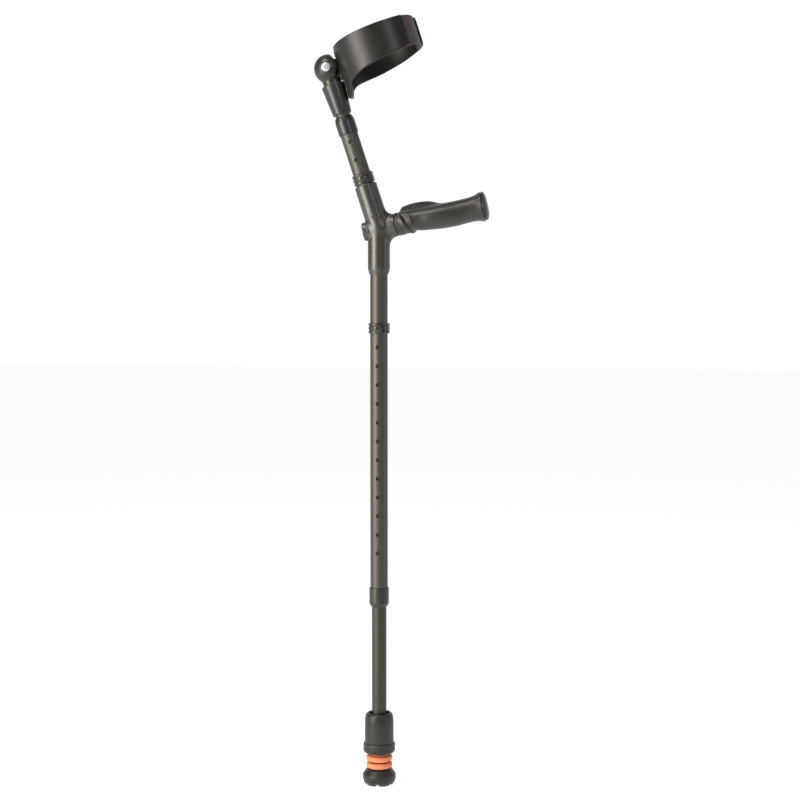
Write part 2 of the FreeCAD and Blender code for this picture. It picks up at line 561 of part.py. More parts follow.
def build():
    """Every sub-part by name."""
    pole_holes = [LEG_CLIP_Z - HOLE_PITCH * i for i in range(POLE_HOLES)]
    forearm_holes = [FOREARM_CLIP + HOLE_PITCH * i for i in range(FOREARM_HOLES)]
    inner_tube = drilled_tube(LEG_R, INNER_START, INNER_END, [FOREARM_CLIP])
    forearm_tube = drilled_tube(POLE_R, FOREARM_START, FOREARM_END, forearm_holes)
    forearm_tube = forearm_tube.cut(cross_rod(PIN_R + SEAT_GAP, 0, PIN_S, -20, 20))
    low_bush = end_bush(-BUSH_TOP_Z, -BUSH_BOTTOM_Z, -POLE_BOTTOM_Z, 2.2)
    low_bush.rotate(Vector(0, 0, 0), Vector(1, 0, 0), 180)
    return {
        "sole_pad": sole_pad(),
        "sole_core": sole_core(),
        "tilt_seat": tilt_seat(),
        "foot_plunger": plunger(),
        "cushion_buffer": cushion_buffer(),
        "foot_insert": foot_insert(),
        "foot_sleeve": foot_sleeve(),
        "foot_collar": foot_collar(),
        "bellows": bellows(),
        "leg_tube": drilled_tube(LEG_R, LEG_BOTTOM_Z, LEG_TOP_Z, [LEG_CLIP_Z]),
        "leg_guide": guide_plug(LEG_TOP_Z - 14, LEG_TOP_Z + 5.1),
        "pole_tube": drilled_tube(POLE_R, POLE_BOTTOM_Z, POLE_TOP_Z, pole_holes),
        "pole_bush": low_bush,
        "leg_clip": clip_ring(LEG_CLIP_Z),
        "leg_clip_peg": clip_peg(LEG_CLIP_Z),
        "handle_moulding": handle_moulding(),
        "cross_pin": cross_pin(),
        "rear_plug": rear_plug(),
        "handle_core": handle_core(),
        "core_bolt": core_bolt(),
        "grip_collar": grip_collar(),
        "grip": grip(),
        "grip_end_cap": grip_end_cap(),
        "forearm_tube": placed(forearm_tube, FOREARM),
        "forearm_bush": placed(end_bush(*FOREARM_BUSH, FOREARM_END, 5.0), FOREARM),
        "forearm_clip": placed(clip_ring(FOREARM_CLIP), FOREARM),
        "forearm_clip_peg": placed(clip_peg(FOREARM_CLIP), FOREARM),
        "inner_tube": placed(inner_tube, FOREARM),
        "inner_guide": placed(flipped_guide(), FOREARM),
        "cuff_socket": cuff_socket(),
        "hinge_knuckle": hinge_knuckle(),
        "hinge_screw": hinge_screw(),
        "hinge_nut": hinge_nut(),
        "friction_washers": friction_washers(),
        "cuff_bracket": cuff_bracket(),
        "cuff_shell": cuff_shell(),
        "cuff_strap": cuff_strap(),
        "strap_anchor": strap_anchor(),
        "strap_rivets": strap_rivets(),
    }


def flipped_guide():
    """Guide plug in the lower end of the forearm's inner tube, collar down."""
    plug = guide_plug(-INNER_START - 14, -INNER_START + 5.1)
    plug.rotate(Vector(0, 0, 0), Vector(1, 0, 0), 180)
    return plug


os.makedirs("parts", exist_ok=True)
for node, shape in build().items():
    solids = shape.Solids
    print(f"{node:18s} valid {shape.isValid()} solids {len(solids)} volume {shape.Volume:.0f}")
    shape.exportStep(f"parts/{node}.step")
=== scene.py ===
import json
import math

import bmesh
import bpy
import numpy as np
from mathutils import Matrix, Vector


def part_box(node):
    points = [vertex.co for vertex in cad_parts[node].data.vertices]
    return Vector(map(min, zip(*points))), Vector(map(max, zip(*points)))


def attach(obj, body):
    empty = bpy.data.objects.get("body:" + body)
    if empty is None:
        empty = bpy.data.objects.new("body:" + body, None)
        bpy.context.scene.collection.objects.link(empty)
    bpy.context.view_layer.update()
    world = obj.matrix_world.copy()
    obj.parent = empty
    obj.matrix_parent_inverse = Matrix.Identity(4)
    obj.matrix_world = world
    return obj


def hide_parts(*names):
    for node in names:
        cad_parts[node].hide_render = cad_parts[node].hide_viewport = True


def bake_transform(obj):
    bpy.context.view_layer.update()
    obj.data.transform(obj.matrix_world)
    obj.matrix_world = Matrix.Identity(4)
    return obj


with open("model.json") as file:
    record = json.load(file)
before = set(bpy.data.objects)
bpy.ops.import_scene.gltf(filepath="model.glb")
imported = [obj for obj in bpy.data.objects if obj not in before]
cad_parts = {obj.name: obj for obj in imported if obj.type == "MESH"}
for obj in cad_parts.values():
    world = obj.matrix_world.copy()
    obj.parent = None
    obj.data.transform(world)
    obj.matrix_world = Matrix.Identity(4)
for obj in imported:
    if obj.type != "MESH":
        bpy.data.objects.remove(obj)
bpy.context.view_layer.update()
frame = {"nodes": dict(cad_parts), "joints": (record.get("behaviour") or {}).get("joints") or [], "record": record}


# ---- Studio ----------------------------------------------------------------------------------------------
# A pale floor and a surround that is white behind the crutch, a tall soft panel on the left, two small ones
# on the right and one above. The camera stands a little to the grip's side, below grip height.

mm = 0.001
scene = bpy.context.scene
scene.view_settings.view_transform = "Standard"
scene.view_settings.look = "None"


class Wire:
    """A shader socket that does arithmetic: each + - * / or ** adds one Math node and gives a new wire."""

    def __init__(self, nodes, socket):
        self.nodes = nodes
        self.socket = socket

    def math(self, operation, *values):
        return self.nodes.add("ShaderNodeMath", {"operation": operation}, *values)

    def __add__(self, other):
        return self.math("ADD", self, other)

    def __radd__(self, other):
        return self.math("ADD", other, self)

    def __sub__(self, other):
        return self.math("SUBTRACT", self, other)

    def __rsub__(self, other):
        return self.math("SUBTRACT", other, self)

    def __mul__(self, other):
        return self.math("MULTIPLY", self, other)

    def __rmul__(self, other):
        return self.math("MULTIPLY", other, self)

    def __truediv__(self, other):
        return self.math("DIVIDE", self, other)

    def __pow__(self, other):
        return self.math("POWER", self, other)

    def above(self, low, high):
        """0 below low, 1 above high, and a smooth step between."""
        settings = {"interpolation_type": "SMOOTHSTEP"}
        return self.nodes.add("ShaderNodeMapRange", settings, Value=self, From_Min=low, From_Max=high)


class Nodes:
    """A node tree and the one method that adds a node to it."""

    def __init__(self, tree):
        self.tree = tree

    def add(self, kind, settings=None, *values, out=0, **named):
        """New node of a kind: settings first, then values or wires by place or by socket name."""
        node = self.tree.nodes.new(kind)
        for key, value in (settings or {}).items():
            setattr(node, key, value)
        for place, value in enumerate(values):
            self.plug(node.inputs[place], value)
        for name, value in named.items():
            self.plug(node.inputs[name.replace("_", " ")], value)
        return Wire(self, node.outputs[out])

    def plug(self, socket, value):
        if isinstance(value, Wire):
            self.tree.links.new(value.socket, socket)
        else:
            socket.default_value = value


def look_from(thing, place, target):
    """Puts a camera or light at a place, facing a target."""
    thing.location = place
    direction = np.asarray(target, float) - np.asarray(place, float)
    thing.rotation_euler = Vector(direction).to_track_quat("-Z", "Y").to_euler()


def soft_panel(name, place, target, width, height, watts, colour):
    """Rectangular soft light, sizes in metres."""
    light = bpy.data.lights.new(name, "AREA")
    light.shape = "RECTANGLE"
    light.size, light.size_y = width, height
    light.energy = watts
    light.color = colour
    panel = bpy.data.objects.new(name, light)
    scene.collection.objects.link(panel)
    look_from(panel, place, target)


def place_camera():
    """Camera on the grip's side of the front view; pitch and sideways shift frame the whole crutch."""
    azimuth, pitch = math.radians(7.0), math.radians(3.81)
    distance, height, sideways = 2.2, 0.6663, 0.028
    ahead = np.array([-math.sin(azimuth), math.cos(azimuth), 0.0])
    right = np.array([math.cos(azimuth), math.sin(azimuth), 0.0])
    place = right * sideways - ahead * distance + np.array([0.0, 0.0, height])
    data = bpy.data.cameras.new("camera")
    data.lens = 74.4
    data.sensor_width = 36.0
    data.clip_end = 50.0
    camera = bpy.data.objects.new("camera", data)
    scene.collection.objects.link(camera)
    look_from(camera, place, place + ahead * math.cos(pitch) - np.array([0, 0, math.sin(pitch)]))
    scene.camera = camera


def light_surround():
    """White behind the crutch and nearly dark in front of it, by direction only."""
    world = bpy.data.worlds.new("surround")
    world.use_nodes = True
    scene.world = world
    nodes = Nodes(world.node_tree)
    behind = nodes.add("ShaderNodeSeparateXYZ", None, nodes.add("ShaderNodeTexCoord"), out=1)
    level = 0.04 + 1.04 * behind.above(0.25, 0.8)
    background = world.node_tree.nodes["Background"]
    background.inputs["Color"].default_value = (1.0, 1.0, 0.995, 1.0)
    nodes.plug(background.inputs["Strength"], level)


def lay_floor():
    """Wide pale sheet just under the foot. Painted light: it glows by its own emission, and painted shade makes
    its colour and glow dimmer towards the front right.
    """
    mesh = bpy.data.meshes.new("floor")
    reach, sunk = 12.0, -0.0003
    corners = [(x * reach, y * reach, sunk) for x, y in ((-1, -1), (1, -1), (1, 1), (-1, 1))]
    mesh.from_pydata(corners, [], [(0, 1, 2, 3)])
    floor = bpy.data.objects.new("floor", mesh)
    scene.collection.objects.link(floor)
    material = bpy.data.materials.new("floor")
    material.use_nodes = True
    shader = material.node_tree.nodes["Principled BSDF"]
    nodes = Nodes(material.node_tree)
    place = nodes.add("ShaderNodeTexCoord", out=3)
    painted_shade_towards = (0.707, -0.707, 0.0)
    along = nodes.add("ShaderNodeVectorMath", {"operation": "DOT_PRODUCT"}, place, painted_shade_towards, out=1)
    # painted shade: colour and glow fall off towards the front right, standing in for light falling off there
    level = 1.0 - 0.6 * along.above(0.4, 1.5)
    colour = nodes.add("ShaderNodeCombineColor", None, level, level, level)
    grey = nodes.add("ShaderNodeVectorMath", {"operation": "SCALE"}, colour, Scale=0.42)
    nodes.plug(shader.inputs["Base Color"], grey)
    shader.inputs["Roughness"].default_value = 0.9
    nodes.plug(shader.inputs["Emission Color"], colour)
    shader.inputs["Emission Strength"].default_value = 0.82
    mesh.materials.append(material)


place_camera()
light_surround()
lay_floor()
soft_panel("left_panel", (-1.5, -1.45, 0.75), (0, 0, 0.6), 0.8, 2.0, 62.0, (1.0, 0.95, 0.86))
soft_panel("right_panel", (1.07, -1.63, 1.75), (0.05, 0, 1.0), 0.35, 0.5, 6.0, (1.0, 0.92, 1.0))
soft_panel("right_edge_panel", (1.9, -0.2, 0.9), (0, 0, 0.6), 0.7, 1.8, 7.0, (1.0, 0.98, 0.96))
soft_panel("top_panel", (-0.8, -0.9, 2.7), (0, 0, 0.8), 1.0, 0.8, 22.0, (1.0, 0.97, 0.93))

# ---- Sole pad and its core -------------------------------------------------------------------------------
# A bulged black rubber pad that meets the ground, with six V grooves cut across its tread. It is moulded
# over a stiff nylon cup, and a steel ball in that cup lets it tilt. Rubber this soft picks up pale dust.

UPRIGHT = (np.zeros(3), np.eye(3))


def span(node):
    """Lowest and highest corner of a CAD node, in millimetres."""
    low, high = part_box(node)
    return np.array(low) / mm, np.array(high) / mm


def step_up(value, low, high):
    """Smooth step: 0 below low, 1 above high, 3t^2 - 2t^3 between."""
    t = np.clip((value - low) / (high - low), 0.0, 1.0)
    return t * t * (3.0 - 2.0 * t)


def soften(outline, steps=7):
    """Closed outline with rounded corners. Each (across, along, corner radius) turns into the curve
    (1-t)^2 start + 2t(1-t) corner + t^2 end, where start and end lie on the two edges beside it."""
    corner = np.array([point[:2] for point in outline], float)
    radius = np.array([point[2] if len(point) > 2 else 0.0 for point in outline])
    before, after = np.roll(corner, 1, 0) - corner, np.roll(corner, -1, 0) - corner
    length_before, length_after = np.linalg.norm(before, axis=1), np.linalg.norm(after, axis=1)
    before, after = before / length_before[:, None], after / length_after[:, None]
    half = np.arccos(np.clip((before * after).sum(1), -0.9999, 0.9999)) / 2
    reach = radius / np.tan(half)
    room = np.minimum(1.0, 0.98 * length_after / np.maximum(reach + np.roll(reach, -1), 1e-9))
    reach = (reach * np.minimum(room, np.roll(room, 1)))[:, None]
    t = np.linspace(0, 1, steps)[None, :, None]
    start, end = (corner + before * reach)[:, None], (corner + after * reach)[:, None]
    curve = ((1 - t) ** 2 * start + 2 * t * (1 - t) * corner[:, None] + t ** 2 * end).reshape(-1, 2)
    moved = np.linalg.norm(curve - np.roll(curve, 1, 0), axis=1) > 1e-4
    moved[0] = True
    return curve[moved]


def placed(points, where):
    """Points from a frame (origin, three axes) into the object's frame: origin + x X + y Y + z Z."""
    origin, axes = where
    return origin + points @ axes


def skin(name, points, wrap_rows=False, ends=None):
    """Mesh over a grid of points (rows, columns, 3) in millimetres. Neighbours in the grid share a face and
    columns run round; wrap_rows joins the last row to the first, or ends are two points that close them.
    An attribute holds how sharply the surface turns along the rows, for wear at the edges."""
    rows, columns = points.shape[:2]
    left = np.arange(rows * columns).reshape(rows, columns)
    right = np.roll(left, -1, 1)
    if wrap_rows:
        quads = np.stack([left, right, np.roll(right, -1, 0), np.roll(left, -1, 0)], -1).reshape(-1, 4)
    else:
        quads = np.stack([left[:-1], right[:-1], right[1:], left[1:]], -1).reshape(-1, 4)
    ahead = np.roll(points, -1, 0) - points
    ahead = ahead / np.maximum(np.linalg.norm(ahead, axis=-1, keepdims=True), 1e-6)
    turn = np.linalg.norm(ahead - np.roll(ahead, 1, 0), axis=-1) / 2
    if not wrap_rows:
        turn[0] = turn[1]
        turn[-1] = turn[-2]
    corners = points.reshape(-1, 3)
    faces = quads.tolist()
    turn = turn.ravel()
    if ends is not None:
        first, last = len(corners), len(corners) + 1
        corners = np.vstack([corners, ends])
        turn = np.append(turn, [0.0, 0.0])
        faces += np.stack([right[0], left[0], np.full(columns, first)], -1).tolist()
        faces += np.stack([left[-1], right[-1], np.full(columns, last)], -1).tolist()
    mesh = bpy.data.meshes.new(name)
    mesh.from_pydata((corners * mm).tolist(), [], faces)
    layer = mesh.attributes.new("edge", "FLOAT", "POINT")
    layer.data.foreach_set("value", np.clip(turn * 6.0, 0.0, 1.0).astype(np.float32))
    return finish_mesh(name, mesh)


def finish_mesh(name, mesh, sharp=38.0):
    """Merges doubles, turns every face outwards, shades it smooth up to an angle, and makes the object."""
    shell = bmesh.new()
    shell.from_mesh(mesh)
    bmesh.ops.remove_doubles(shell, verts=shell.verts, dist=1e-7)
    bmesh.ops.dissolve_degenerate(shell, edges=shell.edges, dist=1e-7)
    bmesh.ops.recalc_face_normals(shell, faces=shell.faces)
    shell.to_mesh(mesh)
    shell.free()
    mesh.shade_smooth()
    mesh.set_sharp_from_angle(angle=math.radians(sharp))
    piece = bpy.data.objects.new(name, mesh)
    scene.collection.objects.link(piece)
    return piece


def turned(name, outline, where=UPRIGHT, around=96, steps=7, pace=None, reshape=None):
    """Turned piece: (r cos a, r sin a, h) for every point (r, h) of the softened outline. An outline that
    starts and ends on the axis closes there; any other is a ring. A pace in millimetres adds points along
    the outline, so that none are further apart, and reshape is a last change to the points."""
    curve = soften(outline, steps)
    if pace:
        gap = np.linalg.norm(np.diff(curve, axis=0), axis=1)
        run = np.insert(np.cumsum(gap), 0, 0.0)
        extra = np.linspace(0, run[-1], int(run[-1] / pace))
        stops = np.unique(np.concatenate([run, extra]).round(4))
        curve = np.stack([np.interp(stops, run, curve[:, 0]), np.interp(stops, run, curve[:, 1])], -1)
    angle = np.linspace(0, 2 * np.pi, around, endpoint=False)
    radius, height = curve[:, :1], curve[:, 1:]
    points = np.stack([radius * np.cos(angle), radius * np.sin(angle), height + 0 * angle], -1)
    if reshape is not None:
        points = reshape(points)
    if outline[0][0] == 0:
        ends = placed(np.array([points[0].mean(0), points[-1].mean(0)]), where)
        return skin(name, placed(points[1:-1], where), ends=ends)
    return skin(name, placed(points, where), wrap_rows=True)


class Finish(Nodes):
    """A material on Object coordinates, with the few patterns that the pieces share."""

    def __init__(self, name, **sockets):
        self.material = bpy.data.materials.new(name)
        self.material.use_nodes = True
        super().__init__(self.material.node_tree)
        self.shader = self.tree.nodes["Principled BSDF"]
        self.place = self.add("ShaderNodeTexCoord", out=3)
        self.feed(**sockets)

    def feed(self, **sockets):
        for name, value in sockets.items():
            self.plug(self.shader.inputs[name.replace("_", " ")], value)

    def noise(self, scale, detail=2.0, rough=0.5, stretch=(1, 1, 1), lean=0.0):
        """Noise of so many grains to the metre, stretched, with its axes leaning back by some degrees."""
        turn = (0, math.radians(lean), 0)
        kind = {"vector_type": "POINT"}
        spot = self.add("ShaderNodeMapping", kind, self.place, Rotation=turn, Scale=stretch)
        return self.add("ShaderNodeTexNoise", None, spot, Scale=scale, Detail=detail, Roughness=rough)

    def along(self, axis):
        """Distance from the origin along one axis, in metres."""
        return self.add("ShaderNodeSeparateXYZ", None, self.place, out=axis)

    def edge(self):
        """How sharply the surface turns here, from 0 to 1."""
        return self.add("ShaderNodeAttribute", {"attribute_name": "edge"}, out=2)

    def between(self, factor, first, second):
        """Colour between two colours or wires."""
        mix = self.tree.nodes.new("ShaderNodeMix")
        mix.data_type = "RGBA"
        self.plug(mix.inputs[0], factor)
        for socket, colour in ((mix.inputs[6], first), (mix.inputs[7], second)):
            self.plug(socket, colour if isinstance(colour, Wire) else (*colour, 1.0))
        return Wire(self, mix.outputs[2])

    def relief(self, pattern, depth):
        """Bump of a pattern that runs from 0 to 1, with its depth in millimetres."""
        bump = self.add("ShaderNodeBump", None, 1.0, depth * mm, Height=pattern)
        self.feed(Normal=bump)


def fit(piece, finish, body, slot, *nodes):
    """Gives a piece its finish, its body (None leaves it unattached) and hides the CAD nodes it stands for."""
    piece.data.materials.append(finish.material)
    if body:
        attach(piece, body)
    if nodes:
        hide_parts(*nodes)


def refinish(finish, *nodes):
    """Gives CAD nodes that stay a new finish."""
    for node in nodes:
        for place in frame["nodes"][node].material_slots:
            place.material = finish.material


def make_rubber():
    """Black moulded rubber: fine matt grain, cloudy tone, dust where it meets the ground."""
    rubber = Finish("rubber", Specular_IOR_Level=0.5)
    cloud, grain = rubber.noise(90, 3), rubber.noise(2600, 2)
    dust = (1 - rubber.along(2).above(0.0, 0.006)) * cloud.above(0.35, 0.75) * 0.5
    tone = rubber.between(cloud, (0.009, 0.0086, 0.0076), (0.016, 0.0152, 0.0133))
    worn = rubber.between(rubber.edge() * 0.35, tone, (0.11, 0.105, 0.095))
    rubber.feed(Base_Color=rubber.between(dust, worn, (0.16, 0.15, 0.13)), Roughness=0.38 + grain * 0.14)
    rubber.relief(grain, 0.05)
    return rubber


def make_nylon():
    """Dull dark nylon of the hidden inner parts."""
    nylon = Finish("dark_nylon", Specular_IOR_Level=0.4)
    grain = nylon.noise(700, 3)
    nylon.feed(Base_Color=nylon.between(grain, (0.020, 0.020, 0.020), (0.035, 0.034, 0.032)),
               Roughness=0.45 + grain * 0.2)
    nylon.relief(grain, 0.02)
    return nylon


def make_steel():
    """Plain drawn steel: pale, with fine drawing lines along its length."""
    steel = Finish("plain_steel", Metallic=1.0)
    lines, cloud = steel.noise(900, 2, stretch=(1, 1, 0.03)), steel.noise(160, 3)
    steel.feed(Base_Color=steel.between(cloud, (0.46, 0.45, 0.43), (0.58, 0.57, 0.55)),
               Roughness=0.26 + lines * 0.2)
    steel.relief(lines, 0.01)
    return steel


def cut_tread(points):
    """Lifts the underside into six V grooves: z = max(z, 3.7 mm - 0.95 distance from the groove's line)."""
    tread_top = 6.0
    x, y, z = points[..., 0], points[..., 1], points[..., 2]
    radius = np.hypot(x, y)
    for groove in range(6):
        line = math.radians(60 * groove - 90)
        aside = np.abs(x * math.sin(line) - y * math.cos(line))
        ahead = x * math.cos(line) + y * math.sin(line)
        lift = (3.7 - 0.95 * aside) * step_up(radius, 7.0, 9.0) * (ahead > 0)
        z = np.where((radius > 0.1) & (z < tread_top), np.maximum(z, lift), z)
    return np.stack([x, y, z], -1)


rubber = make_rubber()
nylon = make_nylon()
steel = make_steel()
pad_r, pad_top = span("sole_pad")[1][[0, 2]]
cup_r, cup_floor = 11.25, 7.4
pad_outline = [(0, 0), (pad_r - 3.6, 0, 1.2), (pad_r - 1.0, 4.2, 2.0), (pad_r + 0.1, 8.6, 4.0),
               (pad_r + 0.1, 13.4, 3.5), (pad_r - 4.6, pad_top - 0.8, 2.4), (pad_r - 7.0, pad_top, 1.2),
               (cup_r, pad_top, 0.6), (cup_r, cup_floor), (0, cup_floor)]
pad = turned("tread_pad", pad_outline, around=240, pace=0.7, reshape=cut_tread)
fit(pad, rubber, "sole", "sole_rubber", "sole_pad")
refinish(nylon, "sole_core", "tilt_seat", "foot_insert")
refinish(steel, "foot_plunger")


# ---- Bellows ---------------------------------------------------------------------------------------------
# A soft orange rubber bellows between the collar and the sole, moulded in one. On the crutch its thin top ring and
# upper fold shorten when the cushion is pressed; here they are fixed in place, and the lower fold follows the sole
# when that tilts.

def make_orange():
    """Orange silicone: soft gloss, painted shade of deep red in the grooves between the folds, a slightly uneven
    matt skin.
    """
    orange = Finish("orange_bellows", Specular_IOR_Level=0.45, Subsurface_Weight=0.12,
                    Subsurface_Radius=(0.004, 0.0015, 0.0006))
    cloud, grain = orange.noise(120, 3), orange.noise(2200, 2)
    x, y = orange.along(0), orange.along(1)
    # painted shade: dark red where the radius is small, in the grooves between the folds and on the inner faces
    groove_painted_shade = 1 - (x * x + y * y).above(0.0134 ** 2, 0.0158 ** 2)
    skin_tone = orange.between(cloud, (0.80, 0.235, 0.095), (0.88, 0.29, 0.13))
    orange.feed(Base_Color=orange.between(groove_painted_shade, skin_tone, (0.16, 0.022, 0.006)),
                Roughness=0.42 + grain * 0.14)
    orange.relief(grain, 0.02)
    return orange


orange = make_orange()
bellows_low, bellows_high = span("bellows")
bellows_r, ring_top, skirt_low = bellows_high[0], bellows_high[2], bellows_low[2]
valley_r, inner_r, split_z = 12.6, 11.9, 30.6
upper_outline = [(inner_r, ring_top), (15.6, ring_top, 0.4), (15.7, ring_top - 1.5, 0.8),
                 (valley_r, ring_top - 2.2, 0.6), (valley_r, 39.5, 0.6), (bellows_r, 39.1, 3.7),
                 (bellows_r, 31.8, 3.7), (valley_r, 31.3, 0.6), (valley_r, split_z), (inner_r, split_z)]
lower_outline = [(11.7, 31.4), (12.1, 31.4), (12.3, 30.5), (valley_r, 30.3, 0.2), (valley_r, 30.0, 0.4),
                 (bellows_r, 29.8, 3.8), (bellows_r, 22.6, 3.8), (valley_r, 21.8, 0.4), (valley_r, skirt_low),
                 (11.6, skirt_low)]
upper_fold = turned("bellows_upper_fold", upper_outline, steps=10)
fit(upper_fold, orange, None, "bellows_rubber", "bellows")
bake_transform(upper_fold)
lower_fold = turned("bellows_lower_fold", lower_outline, steps=10)
fit(lower_fold, orange, "sole", "bellows_rubber")
refinish(orange, "cushion_buffer")


# ---- Foot sleeve and collar ------------------------------------------------------------------------------
# A black rubber sleeve pushed over the leg's insert, with a rounded shoulder and a recess round the tube.
# A wider collar at its foot, moulded separately, clips over the bellows' top ring.

collar_low, collar_high = span("foot_collar")
collar_r, collar_bottom, collar_top = collar_high[0], collar_low[2], collar_high[2]
insert_r = 13.02
collar_outline = [(insert_r, collar_bottom), (collar_r - 3.6, collar_bottom, 0.8),
                  (collar_r - 0.2, collar_bottom + 2.8, 1.6), (collar_r, collar_bottom + 5.0, 0.8),
                  (collar_r, collar_top, 1.7), (insert_r, collar_top)]
fit(turned("foot_band", collar_outline), rubber, "leg", "sole_rubber", "foot_collar")
sleeve_r = span("foot_sleeve")[1][0] - 0.3
sleeve_top = span("foot_sleeve")[1][2]
sleeve_low, insert_top, tube_hole_r = collar_top + 0.1, 92.15, 10.15
sleeve_outline = [(insert_r, sleeve_low), (sleeve_r + 0.2, sleeve_low, 0.3),
                  (sleeve_r, sleeve_top - 9.5, 1.0), (sleeve_r - 0.9, sleeve_top - 3.0, 4.5),
                  (sleeve_r - 3.6, sleeve_top, 1.6), (sleeve_r - 5.4, sleeve_top - 0.6, 0.9),
                  (sleeve_r - 6.3, insert_top + 0.75, 0.5),
                  (tube_hole_r, insert_top + 0.45), (tube_hole_r, insert_top), (insert_r, insert_top)]
fit(turned("foot_boot", sleeve_outline), rubber, "leg", "sole_rubber", "foot_sleeve")


# ---- Leg tube and pole -----------------------------------------------------------------------------------
# Two drawn aluminium tubes, blasted and anodised a warm grey with a fine sparkle. The thin one slides in
# the pole, which has thirteen drilled holes down its front with lightly rounded, polished rims.

def make_anodised(name, lean, depth=1.0):
    """Anodised aluminium: sparkling grains on a warm grey, faint drawing lines along the leaning tube. A depth
    below 1 mixes near-black into the colour as painted shade, so the tube is darker."""
    metal = Finish(name, Metallic=0.82)
    grain, cloud = metal.noise(2300, 2, 0.6), metal.noise(25, 3)
    lines = metal.noise(1100, 1, stretch=(1, 1, 0.012), lean=lean)
    tone = metal.between(grain.above(0.35, 0.7), (0.072, 0.070, 0.060), (0.140, 0.136, 0.118))
    dark = metal.between(cloud * 0.35, tone, (0.09, 0.088, 0.079))
    # with a depth below 1, the near-black mixed in here is painted shade
    metal.feed(Base_Color=metal.between(1 - depth * (0.9 + cloud * 0.2), dark, (0.02, 0.019, 0.016)),
               Roughness=0.42 + grain * 0.10 + lines * 0.06)
    metal.relief(grain * 0.7 + lines * 0.3, 0.03)
    return metal


def hole_rims(name, tube_r, hole_r, heights, where=UPRIGHT):
    """Rims of a row of holes. Round each hole runs the curve (h cos a, -sqrt(R^2 - h^2 cos^2 a),
    height + h sin a) where it meets the tube, and a 0.3 mm circle is carried along that curve."""
    around = np.linspace(0, 2 * np.pi, 40, endpoint=False)[:, None]
    ring = np.linspace(0, 2 * np.pi, 8, endpoint=False)[None, :]
    reach = hole_r + 0.3 * np.cos(ring)
    x, z = reach * np.cos(around), reach * np.sin(around)
    y = -np.sqrt(tube_r ** 2 - x ** 2) + 0.06 - 0.3 * np.sin(ring)
    grids = [np.stack([x, y, z + height], -1) for height in heights]
    rims = [skin(f"{name}_{i}", placed(grid, where), wrap_rows=True) for i, grid in enumerate(grids)]
    return joined(name, rims)


def joined(name, parts):
    """One object out of several, by stacking their meshes."""
    whole = bmesh.new()
    for part in parts:
        whole.from_mesh(part.data)
        bpy.data.objects.remove(part)
    mesh = bpy.data.meshes.new(name)
    whole.to_mesh(mesh)
    whole.free()
    mesh.shade_smooth()
    mesh.set_sharp_from_angle(angle=math.radians(38))
    piece = bpy.data.objects.new(name, mesh)
    scene.collection.objects.link(piece)
    return piece


anodised = make_anodised("anodised_upright", 0.0)
refinish(anodised, "pole_tube")
# the leg's copy of the anodised finish is darkened by painted shade (depth 0.66)
refinish(make_anodised("anodised_leg_painted_shade", 0.0, 0.66), "leg_tube")
refinish(nylon, "leg_guide")
pole_r = span("pole_tube")[1][0]
clip_low, clip_high = span("leg_clip")
clip_z = (clip_low[2] + clip_high[2]) / 2
hole_pitch, hole_r = 25.0, 2.9
pole_rims = hole_rims("pole_hole_rims", pole_r, hole_r, [clip_z - hole_pitch * i for i in range(1, 13)])
fit(pole_rims, anodised, "frame", "anodised_tube")


# ---- Pole bush -------------------------------------------------------------------------------------------
# A moulded black end bush, glued over the pole's lower end. Its lip guides the leg and hides the gap.

def make_gloss():
    """Black injection moulding with a polished skin and faint flow marks."""
    gloss = Finish("gloss_black", Specular_IOR_Level=0.55, Coat_Roughness=0.2)
    cloud, fine = gloss.noise(60, 3), gloss.noise(1500, 2)
    tone = gloss.between(cloud, (0.011, 0.0105, 0.009), (0.020, 0.019, 0.017))
    gloss.feed(Base_Color=gloss.between(gloss.edge() * 0.25, tone, (0.09, 0.087, 0.08)),
               Roughness=0.34 + cloud * 0.10, Coat_Weight=0.10 + cloud * 0.08)
    gloss.relief(fine, 0.006)
    return gloss


gloss = make_gloss()
bush_low, bush_high = span("pole_bush")
bush_r, bush_bottom, bush_top = bush_high[0], bush_low[2], bush_high[2]
lip_r, lip_top, seat_r = 9.92, bush_bottom + 3.7, pole_r + 0.02
bush_outline = [(lip_r, bush_bottom, 0.3), (11.0, bush_bottom, 0.8), (bush_r - 0.3, bush_bottom + 3.4, 1.6),
                (bush_r, bush_bottom + 5.5, 1.0), (bush_r, bush_top - 1.2, 0.6), (bush_r - 0.7, bush_top, 0.6),
                (seat_r, bush_top), (seat_r, lip_top), (lip_r, lip_top)]
fit(turned("pole_end_bush", bush_outline), gloss, "frame", "black_plastic", "pole_bush")


# ---- Spring clips ----------------------------------------------------------------------------------------
# Two sprung U-shaped clips of tough black nylon with three ribs and a domed button. A steel peg behind the
# button drops through the tube's hole and locks the length. Each one pulls off towards the front.

